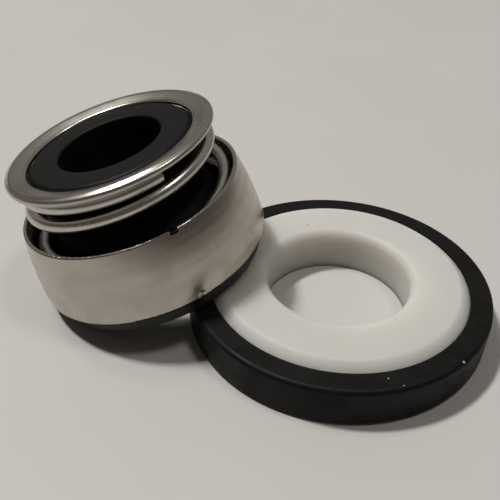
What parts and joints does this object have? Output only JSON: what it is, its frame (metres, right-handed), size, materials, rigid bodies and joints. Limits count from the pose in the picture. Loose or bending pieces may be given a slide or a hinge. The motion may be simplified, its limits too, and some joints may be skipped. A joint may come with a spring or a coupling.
{
  "type": "mechanical seal",
  "caption": "Pump-shaft mechanical seal: a rubber-cupped ceramic seat ring lying flat, and a sprung steel-cased rotary head with rubber bellows leaning on its rim.",
  "frame": {"origin": "centre of the stationary seat's back face, on the plane that both units rest on", "axes": "+Z along the stationary seat's axis, from its back face towards its ceramic face; the rotary head lies towards -X"},
  "size_m": [0.0477, 0.03, 0.0196],
  "materials": {
    "black_rubber": "satin moulded rubber",
    "white_ceramic": "fine-ground alumina",
    "black_carbon": "turned carbon graphite",
    "satin_steel": "satin drawn stainless steel",
    "spring_steel": "drawn stainless wire"
  },
  "bodies": {
    "seal": {"seat_rubber_cup": "black_rubber", "ceramic_seat_ring": "white_ceramic", "face_ring": "black_carbon", "drive_shell": "satin_steel", "bellows": "black_rubber", "spring": "spring_steel"},
    "retainer": {"spring_retainer": "satin_steel"}
  },
  "joints": [
    {"name": "head_compression", "type": "slide", "parent": "seal", "child": "retainer", "axis": [0.2672, 0.0617, -0.9617], "range_m": [0, 0.003], "stiffness_N_per_m": 7000, "deforming": ["spring", "bellows"]}
  ]
}
